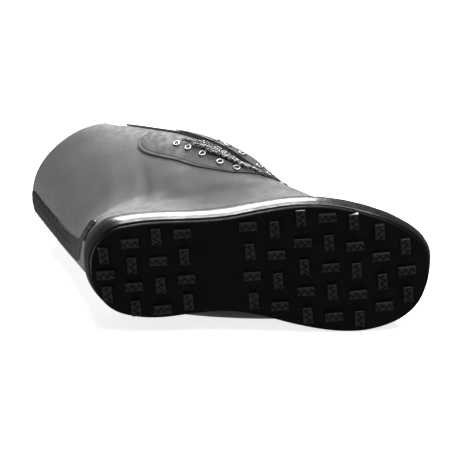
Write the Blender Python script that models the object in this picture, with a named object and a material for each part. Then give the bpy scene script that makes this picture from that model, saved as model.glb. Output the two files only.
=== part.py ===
"""A laced rubber overshoe for the right foot, lying on its inner side.

The shoe is drawn in its own terms first: along (heel to toe), across (towards the outer side)
and up (away from the tread). place() then lays it down, so that the tread faces -Y, the toe
points to +X and the shoe's outer side is on top. Lengths are in metres.
"""

import math

import bmesh
import bpy
import numpy as np

# Sole
SOLE_LENGTH = 0.334
BALL_HALF = 0.0688
SOLE_THICK = 0.006
TOE_SPRING = 0.006
LUG_LONG = 0.0175
LUG_SHORT = 0.0095
LUG_HEIGHT = 0.0035
LUG_CHAMFER = 0.0008
LUG_PITCH_ALONG = 0.0259
LUG_PITCH_ACROSS = 0.0277
LUG_TURN = math.radians(4.2)
FIRST_HEEL_LUG = 0.0195
FIRST_BALL_LUG = 0.1617
# Upper
UPPER_TOP = 0.225
UPPER_WALL = 0.0020
RAND_THICK = 0.0022
RAND_ROW = 2.12
TOE_CAP_ROWS = 3.0
ARCH_FILL_ROWS = 1.8
INSOLE_THICK = 0.003
INSOLE_INSET = 0.0040
SOLE_FORWARD = 0.020
# Throat, tongue, panel and laces
THROAT_START = 5.70
THROAT_HALF = 0.0115
THROAT_TURN = 0.70
THROAT_TWIST = 0.05
TONGUE_WALL = 0.0015
TONGUE_MARGIN = 0.016
PANEL_THICK = 0.0011
PANEL_HALF = 0.047
STRIP_THICK = 0.0012
STRIP_HALF = 0.0125
STRIP_TURN = 0.42
STRIP_START = 3.20
EYELET_RADIUS = 0.0040
EYELET_HOLE = 0.0020
EYELET_THICK = 0.0008
LACE_RADIUS = 0.0013
EYELET_FROM_EDGE = 0.0086
EYELET_LIFT = 0.0004
# What touching pieces keep between them
GAP = 0.0003
OVERLAY_GAP = 0.0005

SOLE_TOP = LUG_HEIGHT + SOLE_THICK
SEAT = SOLE_TOP + GAP
FLOOR_DROP = BALL_HALF * 1.02 + 0.0016
# Where the ball of the foot touches the floor: from the heel, and above the ground.
BALL_AT = SOLE_LENGTH * 0.7934
FLAT_UP = UPPER_TOP * 0.12
PANEL_TOP = OVERLAY_GAP + PANEL_THICK
LACE_LOW = PANEL_TOP + GAP + LACE_RADIUS
LACE_HIGH = PANEL_TOP + GAP + EYELET_LIFT + EYELET_THICK + GAP + LACE_RADIUS

# Half widths of the whole foot as shares of BALL_HALF, before they round off at heel and toe.
OUTLINE_ROWS = (
    # along  outer  inner
    (0.00, 0.95, 1.22),
    (0.05, 1.07, 1.23),
    (0.12, 0.97, 1.11),
    (0.20, 0.88, 0.97),
    (0.30, 0.81, 0.80),
    (0.40, 0.81, 0.715),
    (0.50, 0.90, 0.775),
    (0.60, 1.00, 0.93),
    (0.70, 1.06, 1.09),
    (0.80, 1.055, 1.24),
    (0.90, 1.015, 1.37),
    (1.00, 0.92, 1.54),
)

# One row for each ring of the upper, from the sole's edge to the collar. The back and front of
# a ring are shares of SOLE_LENGTH along and of UPPER_TOP up, widths and shift are shares of
# BALL_HALF, round goes from the foot's outline (0) to an oval (1), turn is in degrees.
RING_ROWS = (
    # back   back_up front  front_up outer inner round shift  turn
    (0.018, 0.0436, 1.018, 0.0436, 0.965, 0.965, 0.00, 0.00, 0.0),
    (0.008, 0.098, 1.016, 0.102, 0.960, 0.985, 0.00, 0.00, 0.0),
    (0.002, 0.169, 0.972, 0.187, 0.880, 1.030, 0.00, -0.02, 0.0),
    (-0.003, 0.227, 0.890, 0.249, 0.845, 1.060, 0.10, -0.02, 1.0),
    (-0.010, 0.276, 0.802, 0.298, 0.835, 1.070, 0.20, -0.01, 3.0),
    (-0.018, 0.320, 0.720, 0.347, 0.830, 1.060, 0.35, 0.00, 8.0),
    (-0.028, 0.364, 0.648, 0.400, 0.830, 1.040, 0.50, -0.01, 15.0),
    (-0.043, 0.409, 0.607, 0.462, 0.830, 1.000, 0.70, -0.02, 23.0),
    (-0.062, 0.462, 0.572, 0.538, 0.840, 0.940, 0.85, -0.03, 30.0),
    (-0.084, 0.529, 0.526, 0.627, 0.850, 0.870, 0.95, -0.05, 35.0),
    (-0.109, 0.613, 0.468, 0.724, 0.860, 0.820, 1.00, -0.08, 37.0),
    (-0.138, 0.711, 0.396, 0.831, 0.870, 0.820, 1.00, -0.12, 37.0),
    (-0.168, 0.813, 0.316, 0.929, 0.880, 0.820, 1.00, -0.16, 36.0),
    (-0.198, 0.911, 0.236, 1.013, 0.890, 0.820, 1.00, -0.18, 35.0),
)
LAST_ROW = len(RING_ROWS) - 1
# How the rings share the rand, the wall from the rand to the throat, and the throat.
ALONG_RAND = np.array([0.0, 0.12, 0.28, 0.46, 0.64, 0.82, 1.0])
RAND_TO_THROAT = np.array([0.16, 0.33, 0.50, 0.67, 0.84, 1.0])
UP_THROAT = np.array([0.03, 0.10, 0.19, 0.28, 0.37, 0.46, 0.55, 0.64, 0.73, 0.82, 0.91, 1.0])
THROAT_ROWS = THROAT_START + UP_THROAT * (LAST_ROW - THROAT_START)
COLUMNS = 40
# Where the lace's strands start, beside their eyelets: the row and metres from the middle.
STRANDS = ((9.10, -0.0145), (8.60, -0.0152), (7.90, -0.0156), (6.80, -0.0112))
LACE_FOOT_ROW = 5.80
LACE_FOOT_ACROSS = -0.0020
PANEL_ROWS = (THROAT_START - 0.35, LAST_ROW - 2.20)

# Lug columns from heel to toe: how many lugs, how far across the first lies as a share of
# BALL_HALF, whether it lies lengthwise, and the step to the next as a share of the pitch.
HEEL_COLUMNS = (
    # count first lengthwise step
    (3, 0.228, False, 0.78),
    (4, 0.427, True, 0.88),
    (4, 0.535, False, 0.985),
    (4, 0.582, True, 0.92),
)
BALL_COLUMNS = (
    (4, 0.700, True, 1.00),
    (4, 0.657, False, 1.04),
    (5, 0.836, False, 0.985),
    (5, 0.843, True, 1.005),
    (5, 0.771, False, 0.98),
    (4, 0.602, False, 1.01),
    (3, 0.350, False, 0.98),
)

MATERIALS = {
    # name: colour, roughness, metallic
    "sole_rubber": ((0.012, 0.012, 0.013), 0.55, 0.0),
    "rand_rubber": ((0.020, 0.020, 0.021), 0.16, 0.0),
    "coated_fabric": ((0.130, 0.130, 0.133), 0.50, 0.0),
    "panel_fabric": ((0.100, 0.100, 0.103), 0.45, 0.0),
    "tape": ((0.030, 0.030, 0.032), 0.25, 0.0),
    "eyelet_metal": ((0.75, 0.75, 0.74), 0.25, 1.0),
    "lace_cord": ((0.030, 0.030, 0.032), 0.75, 0.0),
    "insole_felt": ((0.060, 0.060, 0.062), 0.90, 0.0),
}


def clear_scene():
    """Remove every object, so that only the shoe is in the scene."""
    for obj in list(bpy.data.objects):
        bpy.data.objects.remove(obj, do_unlink=True)


def material(name):
    """The named material, with its colour, roughness and metallic value."""
    found = bpy.data.materials.get(name)
    if found:
        return found
    colour, roughness, metallic = MATERIALS[name]
    made = bpy.data.materials.new(name)
    made.use_nodes = True
    shader = made.node_tree.nodes["Principled BSDF"]
    shader.inputs["Base Color"].default_value = (*colour, 1.0)
    shader.inputs["Roughness"].default_value = roughness
    shader.inputs["Metallic"].default_value = metallic
    made.diffuse_color = (*colour, 1.0)
    return made


def smooth_rows(table, where, keys=None):
    """Read a table of sections at any place between its rows.

    A cubic through each pair of rows, whose slope at a row is the mean slope of the rows
    around it, so the surface runs smoothly through every section.
    """
    rows = np.asarray(table, float)
    if keys is None:
        keys = np.arange(len(rows), dtype=float)
    slopes = np.gradient(rows, keys, axis=0)
    where = np.clip(np.asarray(where, float), keys[0], keys[-1])
    low = np.clip(np.searchsorted(keys, where, side="right") - 1, 0, len(keys) - 2)
    span = keys[low + 1] - keys[low]
    t = ((where - keys[low]) / span)[..., None]
    span = span[..., None]
    start = (1 + 2 * t) * (1 - t) ** 2 * rows[low]
    start_slope = t * (1 - t) ** 2 * span * slopes[low]
    end = t * t * (3 - 2 * t) * rows[low + 1]
    end_slope = t * t * (t - 1) * span * slopes[low + 1]
    return start + start_slope + end + end_slope


def half_width(along, outer_side):
    """Half width of the foot at a share of its length: the table's width times a round-off.

    The round-off is that of an ellipse raised to 0.8, which gives blunt ends.
    """
    table = np.asarray(OUTLINE_ROWS, float)
    wide = smooth_rows(table[:, 1:], along, table[:, 0])
    wide = np.where(outer_side, wide[..., 0], wide[..., 1])
    return BALL_HALF * wide * np.clip(4 * along * (1 - along), 0, 1) ** 0.40


def ring_point(row, angle):
    """A point of the upper's outer face, as (along, across, up).

    row runs up the table of rings. angle runs round a ring: 0 at the heel, a quarter turn at
    the outer side, half a turn at the toe or shin, three quarters at the inner side.
    """
    row, angle = np.broadcast_arrays(np.asarray(row, float), np.asarray(angle, float))
    r = smooth_rows(RING_ROWS, row)
    back, back_up, front, front_up, outer, inner, rounded, shift, turn = np.moveaxis(r, -1, 0)
    share = (1 - np.cos(angle)) / 2
    is_outer = np.sin(angle) >= 0
    foot = half_width(share, is_outer)
    oval = BALL_HALF * np.abs(np.sin(angle)) ** 0.92
    wide = (1 - rounded) * foot + rounded * oval
    fill = np.clip(row / ARCH_FILL_ROWS, 0, 1)
    fill = np.where(is_outer, 0.0, fill * fill * (3 - 2 * fill))
    wide = wide + fill * np.maximum(oval - wide, 0.0)
    side = np.where(is_outer, outer, -inner) * wide
    middle = SOLE_LENGTH * (back + front) / 2
    reach = SOLE_LENGTH * (front - back) / 2 * -np.cos(angle)
    turned = np.radians(turn)
    along = middle + reach * np.cos(turned) - side * np.sin(turned)
    across = BALL_HALF * shift + reach * np.sin(turned) + side * np.cos(turned)
    up = UPPER_TOP * (back_up + (front_up - back_up) * share)
    return np.stack([along, across, up], -1)


def outward(row, angle):
    """The outward direction at a point of the upper, level near the sole's edge."""
    row, angle = np.broadcast_arrays(np.asarray(row, float), np.asarray(angle, float))
    low = np.maximum(row - 0.05, 0)
    high = np.minimum(row + 0.05, LAST_ROW)
    climb = ring_point(high, angle) - ring_point(low, angle)
    round_it = ring_point(row, angle + 0.02) - ring_point(row, angle - 0.02)
    normal = np.cross(climb, round_it)
    level = np.clip(row / 0.8, 0, 1)[..., None]
    normal = normal * np.concatenate([np.ones_like(level)] * 2 + [level], -1)
    return normal / np.linalg.norm(normal, axis=-1, keepdims=True)


def spring(along):
    """How far the toe curves up from the ground."""
    return TOE_SPRING * np.clip(along / SOLE_LENGTH / 0.28 - 2.57, 0, None) ** 2


def place(points, inside=0.0):
    """Lay the shoe down: (along, across, up) becomes (x, z, y), with the floor at z = 0.

    What would reach below the floor is pressed flat on it, and a face that lies inside the
    wall stays that much above it.
    """
    points = np.asarray(points, float)
    along, across, up = points[..., 0], points[..., 1], points[..., 2]
    height = np.maximum(across + FLOOR_DROP, inside)
    return np.stack([along - BALL_AT, up + spring(along) - FLAT_UP, height], -1)


def shell(row, angle, offset):
    """The upper's own surface moved outwards by offset, laid down on the floor.

    Where the floor presses it flat, the wall lies on the rand round the foot and on the floor
    itself up the shaft.
    """
    row, angle, offset = np.broadcast_arrays(row, angle, offset)
    points = ring_point(row, angle) + offset[..., None] * outward(row, angle)
    shaft = np.clip((row - rand_top(angle) - 0.2) / 1.8, 0, 1)
    under_rand = (GAP + RAND_THICK) * (1 - shaft * shaft * (3 - 2 * shaft))
    return place(points, np.maximum(under_rand - offset, 0.0))


def make(name, points, faces, slot, smooth=40):
    """A mesh object of these points and faces, its faces turned outwards."""
    mesh = bpy.data.meshes.new(name)
    mesh.from_pydata([tuple(p) for p in points], [], faces)
    work = bmesh.new()
    work.from_mesh(mesh)
    bmesh.ops.recalc_face_normals(work, faces=work.faces)
    if work.calc_volume(signed=True) < 0:
        bmesh.ops.reverse_faces(work, faces=work.faces)
    work.to_mesh(mesh)
    work.free()
    mesh.materials.append(material(slot))
    mesh.shade_smooth()
    mesh.set_sharp_from_angle(angle=math.radians(smooth))
    obj = bpy.data.objects.new(name, mesh)
    bpy.context.scene.collection.objects.link(obj)
    return obj


def split(a, b, c, d):
    """The two triangles of a square face, always divided from its first to its third corner.

    Faces that lie alongside each other are divided the same way, so that they stay apart.
    """
    return [(a, b, c), (a, c, d)]


def quads(first, second, falling=False):
    """Faces between two closed loops of point numbers, each divided in the same direction."""
    count = len(first)
    faces = []
    for i in range(count):
        a, b = first[i], first[(i + 1) % count]
        c, d = second[(i + 1) % count], second[i]
        faces += split(b, c, d, a) if falling else split(a, b, c, d)
    return faces


def cap(loop):
    """Faces that close a loop of an even count: strips across it, from one end to the other."""
    count = len(loop)
    strips = [(loop[0], loop[1], loop[-1])]
    for i in range(1, count // 2 - 1):
        strips.append((loop[i], loop[i + 1], loop[count - i - 1], loop[count - i]))
    strips.append((loop[count // 2 - 1], loop[count // 2], loop[count // 2 + 1]))
    return strips


def loops_solid(name, loops, slot, closed=True, smooth=40):
    """A solid through closed loops: a tube ring if closed, else capped at both ends."""
    count = len(loops[0])
    points = np.concatenate(loops)
    number = [list(range(i * count, (i + 1) * count)) for i in range(len(loops))]
    faces = []
    for i, (low, high) in enumerate(zip(number, number[1:])):
        faces += quads(low, high, falling=closed and i >= len(loops) // 2)
    if closed:
        faces += quads(number[-1], number[0])
    else:
        faces += [tuple(reversed(face)) for face in cap(number[0])] + cap(number[-1])
    return make(name, points, faces, slot, smooth)


def patch_solid(name, row, angle, low, high, slot, smooth=40):
    """A plate on the upper's surface, between two offsets, over a grid of rows and angles."""
    rows, columns = row.shape
    outer = shell(row, angle, np.broadcast_to(high, row.shape)).reshape(-1, 3)
    inner = shell(row, angle, np.broadcast_to(low, row.shape)).reshape(-1, 3)
    faces = []
    for i in range(rows - 1):
        for j in range(columns - 1):
            a = i * columns + j
            b, c, d = a + 1, a + columns + 1, a + columns
            for corner in split(a, b, c, d):
                faces.append(corner)
                faces.append(tuple(rows * columns + k for k in reversed(corner)))
    rim = (
        list(range(columns))
        + [i * columns + columns - 1 for i in range(1, rows)]
        + [(rows - 1) * columns + j for j in range(columns - 2, -1, -1)]
        + [i * columns for i in range(rows - 2, 0, -1)]
    )
    faces += quads(rim, [rows * columns + k for k in rim])
    return make(name, np.concatenate([outer, inner]), faces, slot, smooth)


def sole_loop(inset, up, count=56):
    """The sole's outline moved in by inset, at one height."""
    angle = np.linspace(0, 2 * math.pi, count, endpoint=False)
    share = (1 - np.cos(angle)) / 2
    side = half_width(share, np.sin(angle) >= 0) * np.where(np.sin(angle) >= 0, 1, -1)
    along = SOLE_LENGTH * 0.5 * (1 - np.cos(angle)) + SOLE_LENGTH * SOLE_FORWARD
    loop = np.stack([along, side], -1)
    tangent = np.roll(loop, -1, 0) - np.roll(loop, 1, 0)
    inward = np.stack([tangent[:, 1], -tangent[:, 0]], -1)
    inward /= np.linalg.norm(inward, axis=1, keepdims=True)
    loop = loop + inset * inward
    return place(np.column_stack([loop, np.full(count, up)]))


def lug_places():
    """Each lug as (along, across, lengthwise), column by column from the heel."""
    found = []
    groups = ((FIRST_HEEL_LUG, HEEL_COLUMNS), (FIRST_BALL_LUG, BALL_COLUMNS))
    for start, columns in groups:
        for i, (count, first, lengthwise, step) in enumerate(columns):
            for k in range(count):
                down = k * LUG_PITCH_ACROSS * step
                along = start + i * LUG_PITCH_ALONG + down * math.tan(LUG_TURN)
                found.append((along, BALL_HALF * first - down, lengthwise == (k % 2 == 0)))
    return found


def build_outsole():
    """The tread plate with its lugs fused on."""
    heights = (
        (0.0012, LUG_HEIGHT),
        (0.0000, LUG_HEIGHT + 0.0014),
        (0.0000, SOLE_TOP - 0.0010),
        (0.0004, SOLE_TOP),
    )
    loops = [sole_loop(inset, up) for inset, up in heights]
    plate = loops_solid("outsole", loops, "sole_rubber", closed=False)
    points, faces = [], []
    for along, across, lengthwise in lug_places():
        half = (LUG_LONG / 2, LUG_SHORT / 2) if lengthwise else (LUG_SHORT / 2, LUG_LONG / 2)
        base = len(points)
        for inset, up in ((LUG_CHAMFER, 0.0), (0.0, LUG_CHAMFER), (0.0, LUG_HEIGHT + 0.001)):
            for sx, sy in ((-1, -1), (1, -1), (1, 1), (-1, 1)):
                right, out = sx * (half[0] - inset), sy * (half[1] - inset)
                turned_right = right * math.cos(LUG_TURN) - out * math.sin(LUG_TURN)
                turned_out = right * math.sin(LUG_TURN) + out * math.cos(LUG_TURN)
                points.append(place((along + turned_right, across + turned_out, up)))
        ring = [list(range(base + 4 * i, base + 4 * i + 4)) for i in range(3)]
        faces += [tuple(reversed(ring[0])), tuple(ring[2])]
        faces += quads(ring[0], ring[1]) + quads(ring[1], ring[2])
    lugs = make("lug_blocks", points, faces, "sole_rubber")
    lugs.hide_render = True
    lugs.display_type = "WIRE"
    fuse = plate.modifiers.new("lugs", "BOOLEAN")
    fuse.operation = "UNION"
    fuse.solver = "EXACT"
    fuse.object = lugs
    return plate


def throat_middle(row):
    """The angle of the throat's middle line: turned from the shin towards the outer side."""
    rise = np.clip((np.asarray(row, float) - THROAT_START) / (LAST_ROW - THROAT_START), 0, 1)
    return math.pi - THROAT_TURN - THROAT_TWIST * rise


def throat_half(row):
    """Half the throat's opening at a row, in metres: it starts as a round end and widens."""
    rise = np.clip((np.asarray(row, float) - THROAT_START) / 1.2, 0, 1)
    return THROAT_HALF * np.sqrt(rise)


def angle_width(row, centre, width):
    """How far round a ring, in radians, a width in metres reaches from an angle."""
    row, centre = np.broadcast_arrays(np.asarray(row, float), np.asarray(centre, float))
    ahead = ring_point(row, centre + 0.05)
    behind = ring_point(row, centre - 0.05)
    return width * 0.10 / np.linalg.norm(ahead - behind, axis=-1)


def rows_between(low, high):
    """The upper's own rings between two rows, with those two, so that faces lie alongside."""
    below = RAND_ROW + RAND_TO_THROAT * (THROAT_START - RAND_ROW)
    rings = np.concatenate([below, THROAT_ROWS])
    inside = rings[(rings > low + 0.12) & (rings < high - 0.12)]
    return np.concatenate([[low], inside, [high]])


def build_upper():
    """One wall from the sole to the collar, open underneath, on top and down the throat."""
    columns = COLUMNS
    share = np.linspace(0, 1, columns + 1)
    around = math.pi - THROAT_TURN + 2 * math.pi * share
    top = rand_top(around)
    foot = ALONG_RAND[:, None] * top
    ankle = top + RAND_TO_THROAT[:, None] * (THROAT_START - top)
    below = np.concatenate([foot, ankle])
    middle = throat_middle(THROAT_ROWS)
    gap = angle_width(THROAT_ROWS, middle, throat_half(THROAT_ROWS))
    shaft = (middle + gap)[:, None] + share * (2 * math.pi - 2 * gap[:, None])
    row = np.concatenate([below, np.repeat(THROAT_ROWS[:, None], columns + 1, 1)])
    angle = np.concatenate([np.repeat(around[None], len(below), 0), shaft])
    outer = shell(row, angle, np.zeros_like(row))
    inner = shell(row, angle, np.full_like(row, -UPPER_WALL))
    points, number = [], {}

    def at(side, i, j):
        """The number of a point: below the throat the first and last columns are one."""
        if j == columns and i < len(below):
            j = 0
        if (side, i, j) not in number:
            number[side, i, j] = len(points)
            points.append((outer, inner)[side][i, j])
        return number[side, i, j]

    faces = []
    for i in range(len(row) - 1):
        for j in range(columns):
            for corner in split((i, j), (i, j + 1), (i + 1, j + 1), (i + 1, j)):
                faces.append(tuple(at(0, *k) for k in corner))
                faces.append(tuple(at(1, *k) for k in reversed(corner)))
    for j in range(columns):
        for i in (0, len(row) - 1):
            faces.append((at(0, i, j), at(0, i, j + 1), at(1, i, j + 1), at(1, i, j)))
    for j in (0, columns):
        for i in range(len(below) - 1, len(row) - 1):
            faces.append((at(0, i, j), at(0, i + 1, j), at(1, i + 1, j), at(1, i, j)))
    return make("upper", points, faces, "coated_fabric", smooth=50)


def rand_top(angle):
    """The ring row where the rubber rand ends: even along the sides, high over the toe."""
    forward = np.clip((-np.cos(angle) - 0.40) / 0.60, 0, 1)
    forward = forward * forward * (3 - 2 * forward)
    return RAND_ROW + 0.10 * np.cos(angle) + TOE_CAP_ROWS * forward


def build_rand():
    """The glossy sidewall round the foot, which rises into the toe cap."""
    angle = math.pi - THROAT_TURN + np.linspace(0, 2 * math.pi, COLUMNS, endpoint=False)
    top = rand_top(angle)
    thick = np.array([0.7, 1.0, 1.0, 1.0, 1.0, 1.0, 0.6])
    outer = [
        shell(top * share, angle, GAP + RAND_THICK * out)
        for share, out in zip(ALONG_RAND, thick)
    ]
    inner = [shell(top * share, angle, GAP) for share in ALONG_RAND[::-1]]
    return loops_solid("rand", outer + inner, "rand_rubber", smooth=50)


def build_insole():
    """A flat inner sole that lies on the outsole inside the wall."""
    inset = INSOLE_INSET + UPPER_WALL
    loops = [sole_loop(inset, SEAT), sole_loop(inset, SEAT + INSOLE_THICK)]
    return loops_solid("insole", loops, "insole_felt", closed=False)


def build_tongue():
    """The gusset behind the throat, curved like the upper and just inside it."""
    rows = rows_between(THROAT_START - 0.7, LAST_ROW - 0.15)
    half = THROAT_HALF + TONGUE_MARGIN
    across = np.linspace(-1, 1, 9)
    row = np.repeat(rows[:, None], len(across), 1)
    middle = throat_middle(row)
    angle = middle + across * angle_width(row, middle, half)
    top = -(UPPER_WALL + GAP * 1.5)
    return patch_solid("tongue", row, angle, top - TONGUE_WALL, top, "panel_fabric")


def panel_edge(row):
    """How far the lace panel reaches from the throat's middle, in metres: an oval outline."""
    t = np.clip((np.asarray(row, float) - PANEL_ROWS[0]) / (PANEL_ROWS[1] - PANEL_ROWS[0]), 0, 1)
    return PANEL_HALF * np.sqrt(np.clip(1 - (2 * t - 1) ** 4, 0, 1)) * (0.80 + 0.20 * t)


def build_panel(name, side):
    """Half of the oval lace panel, from the throat's edge outwards."""
    length = PANEL_ROWS[1] - PANEL_ROWS[0]
    rows = rows_between(THROAT_START + 0.20, PANEL_ROWS[1] - 0.05 * length)
    rows = np.concatenate([rows, PANEL_ROWS[1] - length * np.array([0.02, 0.003])])
    inner = throat_half(rows) + 0.0006
    outer = np.maximum(panel_edge(rows), inner + 0.003)
    across = np.linspace(0, 1, 6)
    reach = inner[:, None] + (outer - inner)[:, None] * across
    row = np.repeat(rows[:, None], len(across), 1)
    middle = throat_middle(row)
    angle = middle + side * angle_width(row, middle, 1.0) * reach
    return patch_solid(name, row, angle, OVERLAY_GAP, PANEL_TOP, "panel_fabric")


def build_strip():
    """The ribbed tape up the back of the shaft, in three raised bands."""
    rows = rows_between(STRIP_START, LAST_ROW - 0.08)
    across = np.array([-1.0, -0.94, -0.38, -0.33, -0.28, 0.28, 0.33, 0.38, 0.94, 1.0])
    rise = np.array([0.45, 1.0, 1.0, 0.45, 1.0, 1.0, 0.45, 1.0, 1.0, 0.45])
    row = np.repeat(rows[:, None], len(across), 1)
    middle = STRIP_TURN * (0.5 + 0.5 * row / LAST_ROW)
    angle = middle + across * angle_width(row, middle, STRIP_HALF)
    high = OVERLAY_GAP + STRIP_THICK * np.broadcast_to(rise, row.shape)
    return patch_solid("back_strip", row, angle, OVERLAY_GAP, high, "tape", smooth=25)


def eyelet_spots():
    """Where the eyelets sit, as (row, side): five on each side of the throat."""
    rows = (6.34, 6.96, 7.85, 8.55, 9.10)
    return [(row, side) for side in (1, -1) for row in rows]


def build_eyelet(name, row, side):
    """A metal ring lying on the lace panel: a flat washer with a rolled inner edge."""
    reach = throat_half(row) + EYELET_FROM_EDGE
    middle = throat_middle(row)
    angle = middle + side * angle_width(row, middle, reach)
    centre = shell(row, angle, PANEL_TOP)
    normal = shell(row, angle, 0.002) - shell(row, angle, 0.0)
    normal = normal / np.linalg.norm(normal)
    along = shell(row + 0.1, angle, 0.0) - shell(row - 0.1, angle, 0.0)
    along = along - normal * np.dot(along, normal)
    along /= np.linalg.norm(along)
    other = np.cross(normal, along)
    count = 14
    turn = np.linspace(0, 2 * math.pi, count, endpoint=False)[:, None]
    circle = np.cos(turn) * along + np.sin(turn) * other
    profile = (
        (EYELET_RADIUS, 0.0),
        (EYELET_RADIUS, EYELET_THICK * 0.5),
        ((EYELET_RADIUS + EYELET_HOLE) / 2, EYELET_THICK),
        (EYELET_HOLE, EYELET_THICK * 0.6),
        (EYELET_HOLE, 0.0),
    )
    seat = centre + normal * (EYELET_LIFT + GAP)
    loops = [seat + normal * rise + circle * radius for radius, rise in profile]
    return loops_solid(name, loops, "eyelet_metal", smooth=60)


def lace_path(points, count):
    """A smooth curve through the route's points, read at even steps."""
    keys = np.arange(len(points), dtype=float)
    return smooth_rows(np.asarray(points, float), np.linspace(0, keys[-1], count), keys)


def tube_loops(path, radius, sides=8):
    """Rings of a round cord along a path, each square to it."""
    tangent = np.gradient(path, axis=0)
    tangent /= np.linalg.norm(tangent, axis=1, keepdims=True)
    loops = []
    reference = np.array([0.0, 0.0, 1.0])
    for spot, way in zip(path, tangent):
        first = np.cross(way, reference)
        first /= np.linalg.norm(first)
        second = np.cross(way, first)
        turn = np.linspace(0, 2 * math.pi, sides, endpoint=False)[:, None]
        loops.append(spot + radius * (np.cos(turn) * first + np.sin(turn) * second))
    return loops


def lace_spot(row, across, lift):
    """A point over the throat: row up the shoe, metres to the side, metres above the wall."""
    middle = throat_middle(row)
    angle = middle + angle_width(row, middle, 1.0) * across
    return shell(row, angle, lift)


def build_laces():
    """The lace's strands, from the outer eyelets down to the throat's foot, where they meet.

    Each strand is a round cord. They run together at the lower end, so they are one solid.
    """
    strands = []
    for i, (start, from_side) in enumerate(STRANDS, 1):
        route = []
        for t in np.linspace(0, 1, 7):
            across = from_side + (LACE_FOOT_ACROSS - from_side) * t**0.6
            lift = LACE_LOW + (LACE_HIGH - LACE_LOW) * (1 - t) ** 3
            route.append(lace_spot(start + (LACE_FOOT_ROW - start) * t, across, lift))
        loops = tube_loops(lace_path(route, 16), LACE_RADIUS)
        name = "laces" if i == 1 else f"strand_{i}"
        strands.append(loops_solid(name, loops, "lace_cord", closed=False))
    for strand in strands[1:]:
        strand.hide_render = True
        strand.display_type = "WIRE"
        join = strands[0].modifiers.new(strand.name, "BOOLEAN")
        join.operation = "UNION"
        join.solver = "EXACT"
        join.object = strand
    return strands[0]


def main():
    clear_scene()
    build_outsole()
    build_rand()
    build_upper()
    build_insole()
    build_tongue()
    build_panel("panel_outer", -1)
    build_panel("panel_inner", 1)
    build_strip()
    for i, (row, side) in enumerate(eyelet_spots(), 1):
        build_eyelet(f"eyelet_{i:02d}", row, side)
    build_laces()


main()
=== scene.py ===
# %% [markdown]
# A laced rubber overshoe for the right foot lies on its inner side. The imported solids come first.
# They are the frame: every fine piece below is worked out from the same sizes and sits on them.

# %% Load the frame
import math

import bmesh
import bpy
import numpy as np
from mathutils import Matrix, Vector


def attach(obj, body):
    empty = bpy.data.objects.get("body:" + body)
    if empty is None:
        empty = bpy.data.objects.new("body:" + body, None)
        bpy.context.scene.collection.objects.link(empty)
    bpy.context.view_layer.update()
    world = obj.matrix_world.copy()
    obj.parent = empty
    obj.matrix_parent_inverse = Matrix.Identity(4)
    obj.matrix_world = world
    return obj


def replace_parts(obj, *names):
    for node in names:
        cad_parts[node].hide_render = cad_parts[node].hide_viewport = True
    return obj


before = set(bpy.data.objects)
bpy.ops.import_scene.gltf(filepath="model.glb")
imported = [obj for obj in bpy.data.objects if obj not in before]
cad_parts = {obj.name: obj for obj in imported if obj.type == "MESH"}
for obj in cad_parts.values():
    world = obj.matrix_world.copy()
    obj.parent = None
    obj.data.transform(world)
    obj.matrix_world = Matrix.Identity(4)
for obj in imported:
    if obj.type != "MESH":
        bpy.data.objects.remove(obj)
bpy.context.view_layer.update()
print("solids:", sorted(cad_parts))

# %% [markdown]
# The shoe's own sizes, in metres. Surfaces are functions of two parameters: a ring number that
# runs up the shoe and an angle that runs round it. A scan or a sculpt could give the same form,
# but a function keeps every overlay exactly on the wall that carries it.

# %% Sizes shared with the solids
SOLE_LENGTH, BALL_HALF, SOLE_THICK, TOE_SPRING = 0.334, 0.0688, 0.006, 0.006
LUG_LONG, LUG_SHORT, LUG_HEIGHT, LUG_CHAMFER = 0.0175, 0.0095, 0.0035, 0.0008
LUG_PITCH_ALONG, LUG_PITCH_ACROSS, LUG_TURN = 0.0259, 0.0277, math.radians(4.2)
FIRST_HEEL_LUG, FIRST_BALL_LUG = 0.0195, 0.1617
UPPER_TOP, UPPER_WALL, RAND_THICK, RAND_ROW, TOE_CAP_ROWS = 0.225, 0.0020, 0.0022, 2.12, 3.0
THROAT_START, THROAT_HALF, THROAT_TURN, THROAT_TWIST = 5.70, 0.0115, 0.70, 0.05
TONGUE_WALL, TONGUE_MARGIN, PANEL_THICK, PANEL_HALF = 0.0015, 0.016, 0.0011, 0.047
STRIP_THICK, STRIP_HALF, STRIP_TURN, STRIP_START = 0.0012, 0.0125, 0.42, 3.20
EYELET_RADIUS, EYELET_HOLE, EYELET_THICK, EYELET_LIFT = 0.0040, 0.0020, 0.0008, 0.0004
EYELET_FROM_EDGE, LACE_RADIUS, GAP, OVERLAY_GAP = 0.0086, 0.0013, 0.0003, 0.0005
SOLE_FORWARD, ARCH_FILL_ROWS = 0.020, 1.8
SOLE_TOP = LUG_HEIGHT + SOLE_THICK
FLOOR_DROP = BALL_HALF * 1.02 + 0.0016
BALL_AT, FLAT_UP = SOLE_LENGTH * 0.7934, UPPER_TOP * 0.12
PANEL_TOP = OVERLAY_GAP + PANEL_THICK
OUTLINE = np.array((
    # along outer inner
    (0.00, 0.95, 1.22), (0.05, 1.07, 1.23), (0.12, 0.97, 1.11), (0.20, 0.88, 0.97),
    (0.30, 0.81, 0.80), (0.40, 0.81, 0.715), (0.50, 0.90, 0.775), (0.60, 1.00, 0.93),
    (0.70, 1.06, 1.09), (0.80, 1.055, 1.24), (0.90, 1.015, 1.37), (1.00, 0.92, 1.54),
))
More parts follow.
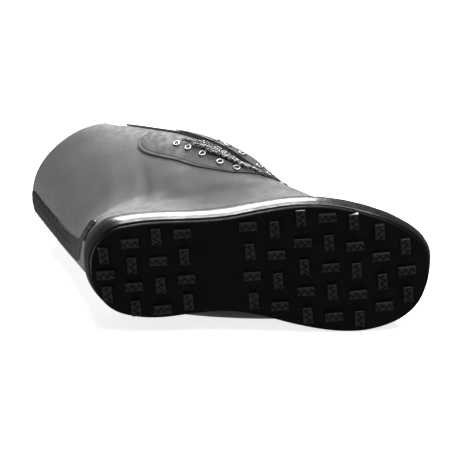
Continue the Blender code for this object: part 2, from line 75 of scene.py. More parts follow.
RINGS = np.array((
    # back back_up front front_up outer inner round shift turn
    (0.018, 0.0436, 1.018, 0.0436, 0.965, 0.965, 0.00, 0.00, 0.0),
    (0.008, 0.098, 1.016, 0.102, 0.960, 0.985, 0.00, 0.00, 0.0),
    (0.002, 0.169, 0.972, 0.187, 0.880, 1.030, 0.00, -0.02, 0.0),
    (-0.003, 0.227, 0.890, 0.249, 0.845, 1.060, 0.10, -0.02, 1.0),
    (-0.010, 0.276, 0.802, 0.298, 0.835, 1.070, 0.20, -0.01, 3.0),
    (-0.018, 0.320, 0.720, 0.347, 0.830, 1.060, 0.35, 0.00, 8.0),
    (-0.028, 0.364, 0.648, 0.400, 0.830, 1.040, 0.50, -0.01, 15.0),
    (-0.043, 0.409, 0.607, 0.462, 0.830, 1.000, 0.70, -0.02, 23.0),
    (-0.062, 0.462, 0.572, 0.538, 0.840, 0.940, 0.85, -0.03, 30.0),
    (-0.084, 0.529, 0.526, 0.627, 0.850, 0.870, 0.95, -0.05, 35.0),
    (-0.109, 0.613, 0.468, 0.724, 0.860, 0.820, 1.00, -0.08, 37.0),
    (-0.138, 0.711, 0.396, 0.831, 0.870, 0.820, 1.00, -0.12, 37.0),
    (-0.168, 0.813, 0.316, 0.929, 0.880, 0.820, 1.00, -0.16, 36.0),
    (-0.198, 0.911, 0.236, 1.013, 0.890, 0.820, 1.00, -0.18, 35.0),
))
LAST_ROW = len(RINGS) - 1
PANEL_ROWS = (THROAT_START - 0.35, LAST_ROW - 2.20)


# %% The wall's surface as a function
def smooth_rows(rows, where, keys):
    """A cubic between each pair of rows, with a row's slope the mean slope around it."""
    slopes = np.gradient(rows, keys, axis=0)
    where = np.clip(np.asarray(where, float), keys[0], keys[-1])
    low = np.clip(np.searchsorted(keys, where, side="right") - 1, 0, len(keys) - 2)
    span = keys[low + 1] - keys[low]
    t = ((where - keys[low]) / span)[..., None]
    span = span[..., None]
    return (
        (1 + 2 * t) * (1 - t) ** 2 * rows[low]
        + t * (1 - t) ** 2 * span * slopes[low]
        + t * t * (3 - 2 * t) * rows[low + 1]
        + t * t * (t - 1) * span * slopes[low + 1]
    )


def ease(t):
    """A smooth step from 0 to 1."""
    t = np.clip(t, 0, 1)
    return t * t * (3 - 2 * t)


def half_width(share, is_outer):
    """The foot's half width at a share of its length: the table times a blunt ellipse."""
    wide = smooth_rows(OUTLINE[:, 1:], share, OUTLINE[:, 0])
    wide = np.where(is_outer, wide[..., 0], wide[..., 1])
    return BALL_HALF * wide * np.clip(4 * share * (1 - share), 0, 1) ** 0.40


def ring_point(row, angle):
    """(along, across, up) on ring row at angle: a foot outline that turns into an oval."""
    row, angle = np.broadcast_arrays(np.asarray(row, float), np.asarray(angle, float))
    r = smooth_rows(RINGS, row, np.arange(len(RINGS), dtype=float))
    back, back_up, front, front_up, outer, inner, rounded, shift, turn = np.moveaxis(r, -1, 0)
    share = (1 - np.cos(angle)) / 2
    is_outer = np.sin(angle) >= 0
    oval = BALL_HALF * np.abs(np.sin(angle)) ** 0.92
    foot = half_width(share, is_outer)
    wide = (1 - rounded) * foot + rounded * oval
    fill = np.where(is_outer, 0.0, ease(row / ARCH_FILL_ROWS))
    wide = wide + fill * np.maximum(oval - wide, 0.0)
    side = np.where(is_outer, outer, -inner) * wide
    reach = SOLE_LENGTH * (front - back) / 2 * -np.cos(angle)
    turned = np.radians(turn)
    along = SOLE_LENGTH * (back + front) / 2 + reach * np.cos(turned) - side * np.sin(turned)
    across = BALL_HALF * shift + reach * np.sin(turned) + side * np.cos(turned)
    return np.stack([along, across, UPPER_TOP * (back_up + (front_up - back_up) * share)], -1)


def outward(row, angle):
    """The direction square to the wall, level near the sole's edge."""
    row, angle = np.broadcast_arrays(np.asarray(row, float), np.asarray(angle, float))
    climb = ring_point(np.minimum(row + 0.05, LAST_ROW), angle)
    climb = climb - ring_point(np.maximum(row - 0.05, 0), angle)
    normal = np.cross(climb, ring_point(row, angle + 0.02) - ring_point(row, angle - 0.02))
    normal[..., 2] *= np.clip(row / 0.8, 0, 1)
    return normal / np.linalg.norm(normal, axis=-1, keepdims=True)


def place(points, inside=0.0):
    """Lay the shoe down: across becomes height, and what would sink is pressed on the floor."""
    along, across, up = np.moveaxis(np.asarray(points, float), -1, 0)
    lift = TOE_SPRING * np.clip(along / SOLE_LENGTH / 0.28 - 2.57, 0, None) ** 2
    height = np.maximum(across + FLOOR_DROP, inside)
    return np.stack([along - BALL_AT, up + lift - FLAT_UP, height], -1)


def rand_top(angle):
    """The ring where the rand ends: even along the sides, high over the toe."""
    return RAND_ROW + 0.10 * np.cos(angle) + TOE_CAP_ROWS * ease((-np.cos(angle) - 0.40) / 0.60)


def throat_middle(row):
    """The angle of the throat's middle line."""
    rise = np.clip((np.asarray(row, float) - THROAT_START) / (LAST_ROW - THROAT_START), 0, 1)
    return math.pi - THROAT_TURN - THROAT_TWIST * rise


def throat_half(row):
    """Half the throat's opening, in metres."""
    return THROAT_HALF * np.sqrt(np.clip((np.asarray(row, float) - THROAT_START) / 1.2, 0, 1))


def angle_width(row, centre, width):
    """The angle that a width in metres spans round a ring."""
    span = ring_point(row, np.asarray(centre) + 0.05) - ring_point(row, np.asarray(centre) - 0.05)
    return width * 0.10 / np.linalg.norm(span, axis=-1)


# %% [markdown]
# Slack cloth creases where the shaft folds over the ankle. A cloth simulation could find such
# folds, but not these ones, so the main ones are listed: each is a line on the wall
# with a width and a depth, and the wall sinks or rises along it as a soft bell.

# %% Creases
CREASES = (
    # ring and angle in degrees at both ends, width, rise (a trough is negative)
    (9.6, 104, 3.6, 52, 0.0075, -0.0026),
    (9.0, 118, 4.0, 72, 0.0130, 0.0022),
    (10.8, 96, 5.0, 40, 0.0100, 0.0014),
    (12.2, 84, 8.0, 30, 0.0060, 0.0007),
    (12.6, 70, 9.2, 24, 0.0050, -0.0005),
    (7.6, 300, 5.2, 285, 0.0090, -0.0020),
    (9.6, 250, 7.4, 235, 0.0090, -0.0018),
)

CREASE_STEPS = 8


def crease_rise(row, angle, points):
    """How far the wall moves outwards.

    Each crease adds its rise times a bell across its line, exp(-(distance / width)^2), times a
    sine along the line that ends it softly. Two slow sine waves add slackness, and all of it
    fades out at the rand and on the floor.
    """
    total = np.zeros(row.shape)
    for row_a, turn_a, row_b, turn_b, width, rise in CREASES:
        t = np.linspace(0, 1, CREASE_STEPS + 1)
        turns = np.radians(turn_a + (turn_b - turn_a) * t)
        way = place(ring_point(row_a + (row_b - row_a) * t, turns))
        near = np.full(row.shape, np.inf)
        fade = np.zeros(row.shape)
        for k, spot in enumerate(way[:-1]):
            step = way[k + 1] - spot
            share = np.clip(((points - spot) @ step) / (step @ step), 0, 1)
            gap = np.linalg.norm(points - spot - share[..., None] * step, axis=-1)
            closer = gap < near
            near = np.where(closer, gap, near)
            run = np.clip((k + share) / CREASE_STEPS, 0.04, 0.96)
            fade = np.where(closer, np.sin(math.pi * run), fade)
        total += rise * np.exp(-((near / width) ** 2)) * fade
    slack = 0.0003 * np.sin(5.1 * angle + 1.3 * row) * np.sin(1.9 * row - 2.0 * angle)
    clear = ease((row - rand_top(angle) - 0.1) / 1.0) * ease(points[..., 2] / 0.014)
    return (total + slack) * clear


def skin(row, angle, offset):
    """The creased wall moved outwards by offset, kept above the floor as the solids are."""
    row, angle, offset = np.broadcast_arrays(row, angle, offset)
    base = ring_point(row, angle)
    normal = outward(row, angle)
    rise = crease_rise(row, angle, place(base))
    shaft = ease((row - rand_top(angle) - 0.2) / 1.8)
    under = (GAP + RAND_THICK) * (1 - shaft)
    return place(base + (offset + rise)[..., None] * normal, np.maximum(under - offset, 0.0))


# %% [markdown]
# Every surface becomes a mesh in the same way: a grid of points for its outer face and one for
# its inner face, joined round the rim, so that each piece is a closed body.

# %% Meshes from grids
def grid_faces(rows, columns, wrap=False):
    """Squares of a grid as rows of four point numbers; wrap joins the last column to the first."""
    last = columns if wrap else columns - 1
    i, j = np.meshgrid(np.arange(rows - 1), np.arange(last), indexing="ij")
    k = (j + 1) % columns
    squares = (i * columns + j, i * columns + k, (i + 1) * columns + k, (i + 1) * columns + j)
    return np.stack(squares, -1).reshape(-1, 4)


def finish_mesh(name, points, faces, smooth=50, merge=0.0):
    """Put points and faces in a mesh object with its normals outwards, on the root body."""
    mesh = bpy.data.meshes.new(name)
    mesh.from_pydata(np.asarray(points).tolist(), [], [list(map(int, f)) for f in faces])
    work = bmesh.new()
    work.from_mesh(mesh)
    if merge:
        bmesh.ops.remove_doubles(work, verts=work.verts, dist=merge)
    bmesh.ops.recalc_face_normals(work, faces=work.faces)
    if work.calc_volume(signed=True) < 0:
        bmesh.ops.reverse_faces(work, faces=work.faces)
    work.to_mesh(mesh)
    work.free()
    mesh.shade_smooth()
    mesh.set_sharp_from_angle(angle=math.radians(smooth))
    made = bpy.data.objects.new(name, mesh)
    bpy.context.scene.collection.objects.link(made)
    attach(made, "root")
    print(name, "faces:", len(mesh.polygons))
    return made


def rim_of(number):
    """The point numbers round the rim of a grid, in order."""
    return np.concatenate([number[0], number[1:, -1], number[-1, -2::-1], number[-2:0:-1, 0]])


def flat_size(grid):
    """The longest way along a grid and the longest way across it, in millimetres."""
    along = np.linalg.norm(np.diff(grid, axis=0), axis=-1).sum(0).max()
    across = np.linalg.norm(np.diff(grid, axis=1), axis=-1).sum(1).max()
    return round(float(along) * 1000, 1), round(float(across) * 1000, 1)


def plate(name, outer, inner, smooth=50):
    """A closed body between two grids of the same shape."""
    rows, columns = outer.shape[:2]
    top = grid_faces(rows, columns)
    number = np.arange(rows * columns).reshape(rows, columns)
    rim = rim_of(number)
    side = np.stack([rim, np.roll(rim, -1), np.roll(rim, -1) + number.size, rim + number.size], -1)
    points = np.concatenate([outer.reshape(-1, 3), inner.reshape(-1, 3)])
    faces = np.concatenate([top, top[:, ::-1] + number.size, side])
    print(name, "flat size of its inner face, mm:", flat_size(inner))
    return finish_mesh(name, points, faces, smooth)


# %% [markdown]
# Materials. Rubber, coated cloth, tape, metal and cord differ in gloss and grain more than in
# colour, so each gets its own noise for bump and roughness, in the object's own coordinates.

# %% Materials
def finish(
    name, colour, rough, grain, depth,
    vary=0.25, metallic=0.0, coat=0.0, fleck=None, shine=0.5,
):
    """A shader whose colour, roughness and bump vary with noise of a given grain (per metre)."""
    made = bpy.data.materials.new(name)
    made.use_nodes = True
    tree = made.node_tree
    shader = tree.nodes["Principled BSDF"]
    shader.inputs["Metallic"].default_value = metallic
    shader.inputs["Coat Weight"].default_value = coat
    shader.inputs["Specular IOR Level"].default_value = shine
    shader.inputs["Coat Roughness"].default_value = 0.08
    spot = tree.nodes.new("ShaderNodeTexCoord").outputs["Object"]

    def noise(scale, detail):
        node = tree.nodes.new("ShaderNodeTexNoise")
        node.inputs["Scale"].default_value = scale
        node.inputs["Detail"].default_value = detail
        tree.links.new(spot, node.inputs["Vector"])
        return node.outputs["Fac"]

    def ramp(source, low, high, low_at=0.3, high_at=0.7):
        node = tree.nodes.new("ShaderNodeValToRGB")
        node.color_ramp.elements[0].position = low_at
        node.color_ramp.elements[1].position = high_at
        node.color_ramp.elements[0].color = (*low, 1)
        node.color_ramp.elements[1].color = (*high, 1)
        tree.links.new(source, node.inputs["Fac"])
        return node.outputs["Color"]

    dark = tuple(c * (1 - vary) for c in colour)
    light = tuple(c * (1 + vary) for c in colour)
    tint = ramp(noise(45, 4), dark, light)
    if fleck:
        mix = tree.nodes.new("ShaderNodeMix")
        mix.data_type = "RGBA"
        spots = ramp(noise(fleck, 1), (0, 0, 0), (1, 1, 1), 0.54, 0.58)
        tree.links.new(spots, mix.inputs["Factor"])
        tree.links.new(tint, mix.inputs["A"])
        mix.inputs["B"].default_value = (0.62, 0.62, 0.60, 1)
        tint = mix.outputs["Result"]
    tree.links.new(tint, shader.inputs["Base Color"])
    gloss = ramp(noise(160, 3), (rough * 0.8,) * 3, (rough * 1.2,) * 3)
    tree.links.new(gloss, shader.inputs["Roughness"])
    bump = tree.nodes.new("ShaderNodeBump")
    bump.inputs["Strength"].default_value = 1.0
    bump.inputs["Distance"].default_value = depth
    tree.links.new(noise(grain, 2), bump.inputs["Height"])
    tree.links.new(bump.outputs["Normal"], shader.inputs["Normal"])
    return made


LOOKS = {
    # plate and lugs are one rubber in two copies: this darker, duller one is painted shade for the
    # recesses between the lugs
    "sole_rubber": finish(
        "tread rubber painted shade", (0.0025, 0.0025, 0.0027), 0.55, 700, 0.00010, shine=0.10,
    ),
    # the lighter, shinier copy of the same rubber: painted highlight on the lug faces
    "lug_rubber_painted_highlight": finish(
        "lug rubber painted highlight", (0.0075, 0.0075, 0.0078), 0.34, 900, 0.00008, shine=0.55,
    ),
    "rand_rubber": finish(
        "glossy rand", (0.006, 0.006, 0.0064), 0.33, 75, 0.00070, coat=0.25,
    ),
    "coated_fabric": finish(
        "coated cloth", (0.165, 0.165, 0.167), 0.68, 2200, 0.00022, vary=0.06, shine=0.45,
    ),
    "panel_fabric": finish(
        "panel cloth", (0.085, 0.085, 0.087), 0.64, 1500, 0.00012, vary=0.08, shine=0.40,
    ),
    "tape": finish("ribbed tape", (0.016, 0.016, 0.017), 0.20, 260, 0.00040, coat=0.8),
    "eyelet_metal": finish(
        "eyelet metal", (0.45, 0.45, 0.44), 0.36, 600, 0.00003, vary=0.06, metallic=1.0,
    ),
    "lace_cord": finish("flecked cord", (0.014, 0.014, 0.015), 0.70, 2600, 0.00025, fleck=620),
    "insole_felt": finish("felt", (0.050, 0.050, 0.052), 0.90, 1800, 0.00030),
}


def dress(piece, slot):
    """Give a piece its look."""
    piece.data.materials.clear()
    piece.data.materials.append(LOOKS[slot])
    return piece


# %% [markdown]
# The upper is one wall of coated cloth from the sole to the collar. It is open on top,
# underneath and down the throat, so its grid is cut there and joined below.

# %% Upper
AROUND = 200
share = np.linspace(0, 1, AROUND + 1)
around = math.pi - THROAT_TURN + 2 * math.pi * share
top = rand_top(around)
foot = np.linspace(0, 1, 10)[:, None] * top
ankle = top + np.linspace(0, 1, 61)[1:, None] * (THROAT_START - top)
throat_rows = THROAT_START + (LAST_ROW - THROAT_START) * np.linspace(0, 1, 81)[1:] ** 1.1
gap = angle_width(throat_rows, throat_middle(throat_rows), throat_half(throat_rows))
opened = (throat_middle(throat_rows) + gap)[:, None] + share * (2 * math.pi - 2 * gap[:, None])
closed_rows = np.concatenate([foot, ankle])
row = np.concatenate([closed_rows, np.repeat(throat_rows[:, None], AROUND + 1, 1)])
angle = np.concatenate([np.repeat(around[None], len(closed_rows), 0), opened])
outer = skin(row, angle, 0.0)
inner = skin(row, angle, -UPPER_WALL)
number = np.arange(row.size).reshape(row.shape)
face = grid_faces(*row.shape)


def edge(line):
    """Squares that join the two faces of the wall along a line of point numbers."""
    return np.stack([line[:-1], line[1:], line[1:] + row.size, line[:-1] + row.size], -1)


cut = slice(len(closed_rows) - 1, None)
faces = [face, face[:, ::-1] + row.size, edge(number[0]), edge(number[-1])]
faces += [edge(number[cut, 0]), edge(number[cut, -1])]
upper = finish_mesh(
    "upper_cloth",
    np.concatenate([outer.reshape(-1, 3), inner.reshape(-1, 3)]),
    np.concatenate(faces),
    merge=1e-6,
)
dress(upper, "coated_fabric")
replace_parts(upper, "upper")

# %% [markdown]
# The rand is a glossy rubber wall, moulded with a rounded top edge and a slightly
# swollen side. A ring profile carried round the foot gives both.

# %% Rand
RAND_PROFILE = (
    # share of the rand's height, share of its thickness
    (0.00, 0.70), (0.02, 0.95), (0.06, 1.00), (0.12, 1.06), (0.20, 1.16), (0.30, 1.30),
    (0.42, 1.42), (0.55, 1.44), (0.68, 1.36), (0.80, 1.22), (0.90, 1.06), (0.96, 0.92),
    (1.00, 0.55),
)
RAND_STEPS = 260
turn = np.linspace(0, 2 * math.pi, RAND_STEPS, endpoint=False)
height, thick = np.array(RAND_PROFILE).T
outside = skin(rand_top(turn) * height[:, None], turn, GAP + RAND_THICK * thick[:, None])
inside = skin(rand_top(turn) * height[::-1, None], turn, GAP)
loops = np.concatenate([outside, inside, outside[:1]])
rand = finish_mesh(
    "rand_wall",
    loops.reshape(-1, 3),
    grid_faces(len(loops), RAND_STEPS, True),
    merge=1e-6,
)
dress(rand, "rand_rubber")
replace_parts(rand, "rand")

# %% [markdown]
# The tread: a plate with moulded blocks. On the real sole each block has a zigzag groove.
# Each block is a small height field, so the groove is real geometry.

# %% Tread plate and lugs
COLUMNS_OF_LUGS = (
    # start of the group, then for each column: count, first lug as a share of BALL_HALF,
    # whether that lug lies lengthwise, and the step as a share of the pitch
    (FIRST_HEEL_LUG, (
        (3, 0.228, False, 0.78), (4, 0.427, True, 0.88),
        (4, 0.535, False, 0.985), (4, 0.582, True, 0.92),
    )),
    (FIRST_BALL_LUG, (
        (4, 0.700, True, 1.00), (4, 0.657, False, 1.04), (5, 0.836, False, 0.985),
        (5, 0.843, True, 1.005), (5, 0.771, False, 0.98), (4, 0.602, False, 1.01),
        (3, 0.350, False, 0.98),
    )),
)
GROOVE_HALF, GROOVE_DEPTH, GROOVE_TURNS = 0.0008, 0.0014, 2.5
GROOVE_SWING, GROOVE_SLANT = 0.58, 0.78
SOLE_STEPS, LUG_GRID = 240, (41, 23)


def sole_loop(inset, up, count=SOLE_STEPS):
    """The sole's outline moved in by inset, at one height."""
    angle = np.linspace(0, 2 * math.pi, count, endpoint=False)
    is_outer = np.sin(angle) >= 0
    side = half_width((1 - np.cos(angle)) / 2, is_outer) * np.where(is_outer, 1, -1)
    loop = np.stack([SOLE_LENGTH * (0.5 * (1 - np.cos(angle)) + SOLE_FORWARD), side], -1)
    way = np.roll(loop, -1, 0) - np.roll(loop, 1, 0)
    inward = np.stack([way[:, 1], -way[:, 0]], -1) / np.linalg.norm(way, axis=1, keepdims=True)
    return place(np.column_stack([loop + inset * inward, np.full(count, up)]))


def lug(along, across, lengthwise):
    """One block: flat top with a zigzag groove, chamfered edges and straight sides.

    The groove follows a triangle wave along the block. Its depth falls smoothly to nothing with
    the distance from that wave, taken as the height above it times GROOVE_SLANT.
    """
    half_u, half_v = LUG_LONG / 2, LUG_SHORT / 2
    steps_u, steps_v = LUG_GRID
    u = np.concatenate([[-1, -1], np.linspace(-1, 1, steps_u), [1, 1]])
    v = np.concatenate([[-1, -1], np.linspace(-1, 1, steps_v), [1, 1]])
    inset_u = np.concatenate([[0, 0], np.full(steps_u, LUG_CHAMFER), [0, 0]])
    inset_v = np.concatenate([[0, 0], np.full(steps_v, LUG_CHAMFER), [0, 0]])
    x = (u * (half_u - inset_u))[:, None] + 0 * v
    y = (v * (half_v - inset_v))[None, :] + 0 * u[:, None]
    phase = (x / LUG_LONG * GROOVE_TURNS + 0.25) % 1
    wave = GROOVE_SWING * half_v * (2 * np.abs(2 * phase - 1) - 1)
    away = np.abs(y - wave) * GROOVE_SLANT
    depth = GROOVE_DEPTH * (1 - ease((away - GROOVE_HALF * 0.6) / (GROOVE_HALF * 0.8)))
    up = np.where(np.abs(x) < half_u - LUG_CHAMFER * 1.2, depth, 0.0)
    edge_u = np.minimum(np.arange(len(u)), np.arange(len(u))[::-1])[:, None]
    edge_v = np.minimum(np.arange(len(v)), np.arange(len(v))[::-1])[None, :]
    rim = np.minimum(edge_u, edge_v)
    up = np.where(rim == 0, LUG_HEIGHT + 0.001, np.where(rim == 1, LUG_CHAMFER, up))
    if not lengthwise:
        x, y = -y, x
    c, s = math.cos(LUG_TURN), math.sin(LUG_TURN)
    return place(np.stack([along + x * c - y * s, across + x * s + y * c, up], -1))


heights = (
    # inset and height of each loop of the plate's edge, from the tread up
    (0.0014, LUG_HEIGHT), (0.0005, LUG_HEIGHT + 0.0003), (0.0, LUG_HEIGHT + 0.0013),
    (0.0, SOLE_TOP - 0.0022), (0.0006, SOLE_TOP - 0.0017), (0.0006, SOLE_TOP - 0.0012),
    (0.0, SOLE_TOP - 0.0008), (0.0006, SOLE_TOP),
)
loops = np.stack([sole_loop(inset, up) for inset, up in heights])
toe = SOLE_STEPS // 2
half = np.arange(1, toe - 1)
strip = np.stack([half, half + 1, SOLE_STEPS - half - 1, SOLE_STEPS - half], -1)
lid = [list(q) for q in strip] + [[0, 1, SOLE_STEPS - 1], [toe - 1, toe, toe + 1]]
points = [loops.reshape(-1, 3)]
faces = [list(f) for f in grid_faces(len(loops), SOLE_STEPS, True)]
faces += [f[::-1] for f in lid]
faces += [[k + SOLE_STEPS * (len(loops) - 1) for k in f] for f in lid]
base, plate_faces = loops.size // 3, len(faces)
for start, columns in COLUMNS_OF_LUGS:
    for i, (count, first, lengthwise, step) in enumerate(columns):
        for k in range(count):
            down = k * LUG_PITCH_ACROSS * step
            block = lug(
                start + i * LUG_PITCH_ALONG + down * math.tan(LUG_TURN),
                BALL_HALF * first - down,
                lengthwise == (k % 2 == 0),
            )
            number = np.arange(block.size // 3).reshape(block.shape[:2])
            points.append(block.reshape(-1, 3))
            faces += [list(f + base) for f in grid_faces(*number.shape)]
            faces.append(list(rim_of(number)[::-1] + base))
            base += number.size
tread = finish_mesh("tread", np.concatenate(points), faces, smooth=35)
# the plate gets the darker rubber copy, painted shade between the lugs; the lug faces get the
# lighter, shinier copy, a painted highlight
dress(tread, "sole_rubber")
tread.data.materials.append(LOOKS["lug_rubber_painted_highlight"])
is_lug = (np.arange(len(tread.data.polygons)) >= plate_faces).astype(np.int32)
tread.data.polygons.foreach_set("material_index", is_lug)
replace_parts(tread, "outsole")

# %% [markdown]
# The lace panel is a smooth oval patch in two halves, sewn on round its edge. The seam is a
# narrow groove just inside a raised edge.

# %% Panels, tongue and back tape
PANEL_GRID, GUSSET_GRID, TAPE_GRID = (90, 48), (90, 40), (190, 61)
SEAM_INSET, SEAM_HALF, SEAM_DEPTH = 0.0028, 0.0007, 0.0004
ROUNDED_SHARE, ROUNDED_WIDTH = 0.20, 0.0009
CHANNEL_AT, CHANNEL_HALF, CHANNEL_DEPTH = 0.33, 0.035, 0.6
RIB_DEPTH, RIBS_PER_RING = 0.16, 22.0


def panel_edge(row):
    """How far the panel reaches from the throat's middle: an oval with blunt ends."""
    t = np.clip((np.asarray(row, float) - PANEL_ROWS[0]) / (PANEL_ROWS[1] - PANEL_ROWS[0]), 0, 1)
    return PANEL_HALF * np.sqrt(np.clip(1 - (2 * t - 1) ** 4, 0, 1)) * (0.80 + 0.20 * t)


def panel(name, side):
    """Half of the panel, between the throat's edge and its sewn edge."""
    rows = np.linspace(THROAT_START + 0.20, PANEL_ROWS[1] - 0.015, PANEL_GRID[0])
    near = throat_half(rows) + 0.0006
    far = np.maximum(panel_edge(rows), near + 0.003)
    across = np.linspace(0, 1, PANEL_GRID[1])
    reach = near[:, None] + (far - near)[:, None] * across
    row = np.repeat(rows[:, None], PANEL_GRID[1], 1)
    middle = throat_middle(row)
    angle = middle + side * angle_width(row, middle, 1.0) * reach
    from_edge = far[:, None] - reach
    seam = SEAM_DEPTH * np.exp(-(((from_edge - SEAM_INSET) / SEAM_HALF) ** 2))
    rounded = ROUNDED_SHARE * PANEL_THICK * (1 - ease(from_edge / ROUNDED_WIDTH))
    top = skin(row, angle, PANEL_TOP - seam - rounded)
    piece = plate(name, top, skin(row, angle, OVERLAY_GAP))
    return dress(piece, "panel_fabric")


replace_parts(panel("lace_panel_outer", -1), "panel_outer")
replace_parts(panel("lace_panel_inner", 1), "panel_inner")

rows = np.linspace(THROAT_START - 0.7, LAST_ROW - 0.15, GUSSET_GRID[0])
row = np.repeat(rows[:, None], GUSSET_GRID[1], 1)
middle = throat_middle(row)
reach = np.linspace(-1, 1, GUSSET_GRID[1])
angle = middle + reach * angle_width(row, middle, THROAT_HALF + TONGUE_MARGIN)
under = -(UPPER_WALL + GAP * 1.5)
hidden = skin(row, angle, under - TONGUE_WALL)
gusset = plate("gusset", skin(row, angle, under), hidden)
dress(gusset, "panel_fabric")
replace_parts(gusset, "tongue")

rows = np.linspace(STRIP_START, LAST_ROW - 0.08, TAPE_GRID[0])
across = np.linspace(-1, 1, TAPE_GRID[1])
row = np.repeat(rows[:, None], TAPE_GRID[1], 1)
middle = STRIP_TURN * (0.5 + 0.5 * row / LAST_ROW)
angle = middle + across * angle_width(row, middle, STRIP_HALF)
channels = np.exp(-(((np.abs(across) - CHANNEL_AT) / CHANNEL_HALF) ** 2)) * CHANNEL_DEPTH
ribs = RIB_DEPTH * np.sin(row * RIBS_PER_RING + 1.5 * np.sin(row * 3.1)) * (1 - channels)
edge_fall = 0.45 * (1 - ease((1 - np.abs(across)) / 0.06))
high = OVERLAY_GAP + STRIP_THICK * (0.84 - channels - edge_fall + ribs)
tape = plate("back_tape", skin(row, angle, high), skin(row, angle, OVERLAY_GAP), smooth=60)
dress(tape, "tape")
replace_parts(tape, "back_strip")
dress(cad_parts["insole"], "insole_felt")

# %% [markdown]
# Eyelets are pressed metal rings with a rolled edge. The lace is round braided cord: four
# strands start beside the eyelets and lie on the panel, four lie on the tongue, and all meet
# at the throat's foot. Rings and cords are profiles carried round a circle or along a path.
# A bevelled curve could make the cords, but a path in arrays keeps them on the wall.

# %% Eyelets and lace
EYELET_ROWS = (6.34, 6.96, 7.85, 8.55, 9.10)
STRANDS = ((9.10, -0.0145), (8.60, -0.0152), (7.90, -0.0156), (6.80, -0.0112))
THROAT_STRANDS = ((9.15, -0.0080), (9.00, -0.0040), (9.20, 0.0004), (9.05, 0.0048))
LACE_FOOT_ROW, LACE_FOOT_ACROSS = 5.80, -0.0020
# the fine cord is a fifth thicker than the solid's
LACE_FULL = LACE_RADIUS * 1.2
LACE_LOW = PANEL_TOP + GAP + LACE_RADIUS
LACE_ON_TONGUE = LACE_FULL + GAP - (UPPER_WALL + GAP * 1.5)
LACE_HIGH = PANEL_TOP + 2 * GAP + EYELET_LIFT + EYELET_THICK + LACE_RADIUS

EYELET_STEPS, ROLL_STEPS, CORD_STEPS, CORD_SIDES = 40, 11, 60, 16


def wall_frame(row, angle, lift):
    """A point above the wall, the direction out of it and two directions along it."""
    spot = skin(np.array([row]), np.array([angle]), lift)[0]
    out = skin(np.array([row]), np.array([angle]), lift + 0.002)[0] - spot
    out = out / np.linalg.norm(out)
    along = skin(np.array([row + 0.1]), np.array([angle]), lift)[0] - spot
    along = along - out * (along @ out)
    along /= np.linalg.norm(along)
    return spot, out, along, np.cross(out, along)


for n, (row, side) in enumerate([(r, s) for s in (1, -1) for r in EYELET_ROWS], 1):
    middle = float(throat_middle(row))
    from_middle = float(throat_half(row)) + EYELET_FROM_EDGE
    angle = middle + side * float(angle_width(row, middle, from_middle))
    spot, out, along, other = wall_frame(row, angle, PANEL_TOP)
    wide, tall = (EYELET_RADIUS - EYELET_HOLE) / 2, EYELET_THICK
    roll = np.linspace(0, math.pi, ROLL_STEPS)
    radius = (EYELET_RADIUS + EYELET_HOLE) / 2 + wide * np.cos(roll)
    rise = EYELET_LIFT + GAP + tall * np.sin(roll)
    turn = np.linspace(0, 2 * math.pi, EYELET_STEPS, endpoint=False)[:, None]
    circle = np.cos(turn) * along + np.sin(turn) * other
    loops = spot + out * rise[:, None, None] + circle * radius[:, None, None]
    loops = np.concatenate([loops, loops[:1]])
    ring = finish_mesh(
        f"eyelet_ring_{n:02d}",
        loops.reshape(-1, 3),
        grid_faces(len(loops), EYELET_STEPS, True),
        merge=1e-6,
    )
    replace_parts(dress(ring, "eyelet_metal"), f"eyelet_{n:02d}")


def cord_tube(path, radius, sides=CORD_SIDES):
    """Rings of a round cord square to its path, closed with flat ends."""
    way = np.gradient(path, axis=0)
    way /= np.linalg.norm(way, axis=1, keepdims=True)
    first = np.cross(way, [0.0, 0.0, 1.0])
    first /= np.linalg.norm(first, axis=1, keepdims=True)
    second = np.cross(way, first)
    turn = np.linspace(0, 2 * math.pi, sides, endpoint=False)
    loops = path[:, None] + radius * (
        np.cos(turn)[None, :, None] * first[:, None] + np.sin(turn)[None, :, None] * second[:, None]
    )
    last = (len(path) - 1) * sides
    faces = [list(f) for f in grid_faces(len(path), sides, True)]
    faces += [list(range(sides))[::-1], [last + k for k in range(sides)]]
    return loops.reshape(-1, 3), faces


points, faces, base, lengths = [], [], 0, []
for start, from_side in STRANDS + THROAT_STRANDS:
    t = np.linspace(0, 1, CORD_STEPS)
    across = from_side + (LACE_FOOT_ACROSS - from_side) * t**0.6
    lift = LACE_LOW + (LACE_HIGH - LACE_LOW) * (1 - t) ** 3
    if (start, from_side) in THROAT_STRANDS:
        # these lie on the tongue and climb over the wall where the throat closes
        across = from_side + (LACE_FOOT_ACROSS - from_side) * t**2
        lift = LACE_ON_TONGUE + (LACE_LOW - LACE_ON_TONGUE) * ease((t - 0.55) / 0.3)
    row = start + (LACE_FOOT_ROW - start) * t
    middle = throat_middle(row)
    path = skin(row, middle + angle_width(row, middle, 1.0) * across, lift)
    loops, tube_faces = cord_tube(path, LACE_FULL)
    lengths.append(round(float(np.linalg.norm(np.diff(path, axis=0), axis=1).sum()) * 1000, 1))
    points.append(loops)
    faces += [[k + base for k in f] for f in tube_faces]
    base += len(loops)
print("lace strands, mm:", lengths, "in all", round(sum(lengths), 1))
lace = finish_mesh("lace", np.concatenate(points), faces)
dress(lace, "lace_cord")
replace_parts(lace, "laces")

# %% [markdown]
# Studio: a white floor, a soft light from behind that draws the streak on the rand, and a wide
# one from above, ahead of the ankle, that lights the cloth. A small light would give hard
# streaks. The camera is far away with a long lens, 28 degrees up.

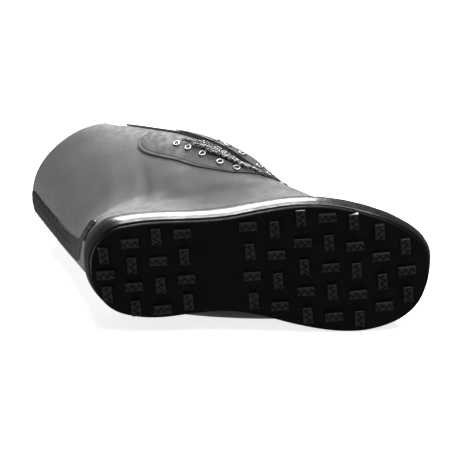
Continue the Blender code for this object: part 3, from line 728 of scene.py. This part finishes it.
# %% Floor, lights and camera
bpy.ops.mesh.primitive_plane_add(size=12, location=(0, 0, -0.0002))
floor = bpy.context.object
floor.name = "floor"
white = bpy.data.materials.new("white floor")
white.use_nodes = True
paper = white.node_tree.nodes["Principled BSDF"]
paper.inputs["Base Color"].default_value = (0.9, 0.9, 0.9, 1)
paper.inputs["Roughness"].default_value = 0.95
paper.inputs["Specular IOR Level"].default_value = 0.0
paper.inputs["Emission Color"].default_value = (1, 1, 1, 1)
paper.inputs["Emission Strength"].default_value = 0.80
floor.data.materials.append(white)
floor.visible_glossy = False

world = bpy.data.worlds.new("studio")
bpy.context.scene.world = world
world.use_nodes = True
world.node_tree.nodes["Background"].inputs[0].default_value = (1, 1, 1, 1)
world.node_tree.nodes["Background"].inputs[1].default_value = 0.16
bpy.context.scene.view_settings.view_transform = "Standard"


def soft_light(name, where, size, power, aim=(-0.1, 0.05, 0.08)):
    """A rectangular light that faces the shoe."""
    lamp = bpy.data.lights.new(name, "AREA")
    lamp.shape = "RECTANGLE"
    lamp.size, lamp.size_y = size
    lamp.energy = power
    made = bpy.data.objects.new(name, lamp)
    made.location = where
    made.rotation_euler = (Vector(aim) - Vector(where)).to_track_quat("-Z", "Y").to_euler()
    bpy.context.scene.collection.objects.link(made)


soft_light("back softbox", (-0.35, 1.5, 0.95), (0.75, 0.95), 40)
soft_light("top softbox", (0.45, 0.15, 1.8), (1.5, 1.3), 36)

CAMERA_UP, CAMERA_FAR, METRES_PER_PIXEL, IMAGE, SENSOR = math.radians(28), 3.0, 0.98e-3, 460, 36.0
lens = bpy.data.cameras.new("camera")
lens.sensor_width = SENSOR
lens.lens = SENSOR * CAMERA_FAR / METRES_PER_PIXEL / IMAGE
camera = bpy.data.objects.new("camera", lens)
look = np.array([0.0, math.cos(CAMERA_UP), -math.sin(CAMERA_UP)])
aim = place((0.144, 0.040 / math.cos(CAMERA_UP), 0.0))
camera.location = Vector(aim - look * CAMERA_FAR)
camera.rotation_euler = Vector(look).to_track_quat("-Z", "Y").to_euler()
bpy.context.scene.collection.objects.link(camera)
bpy.context.scene.camera = camera
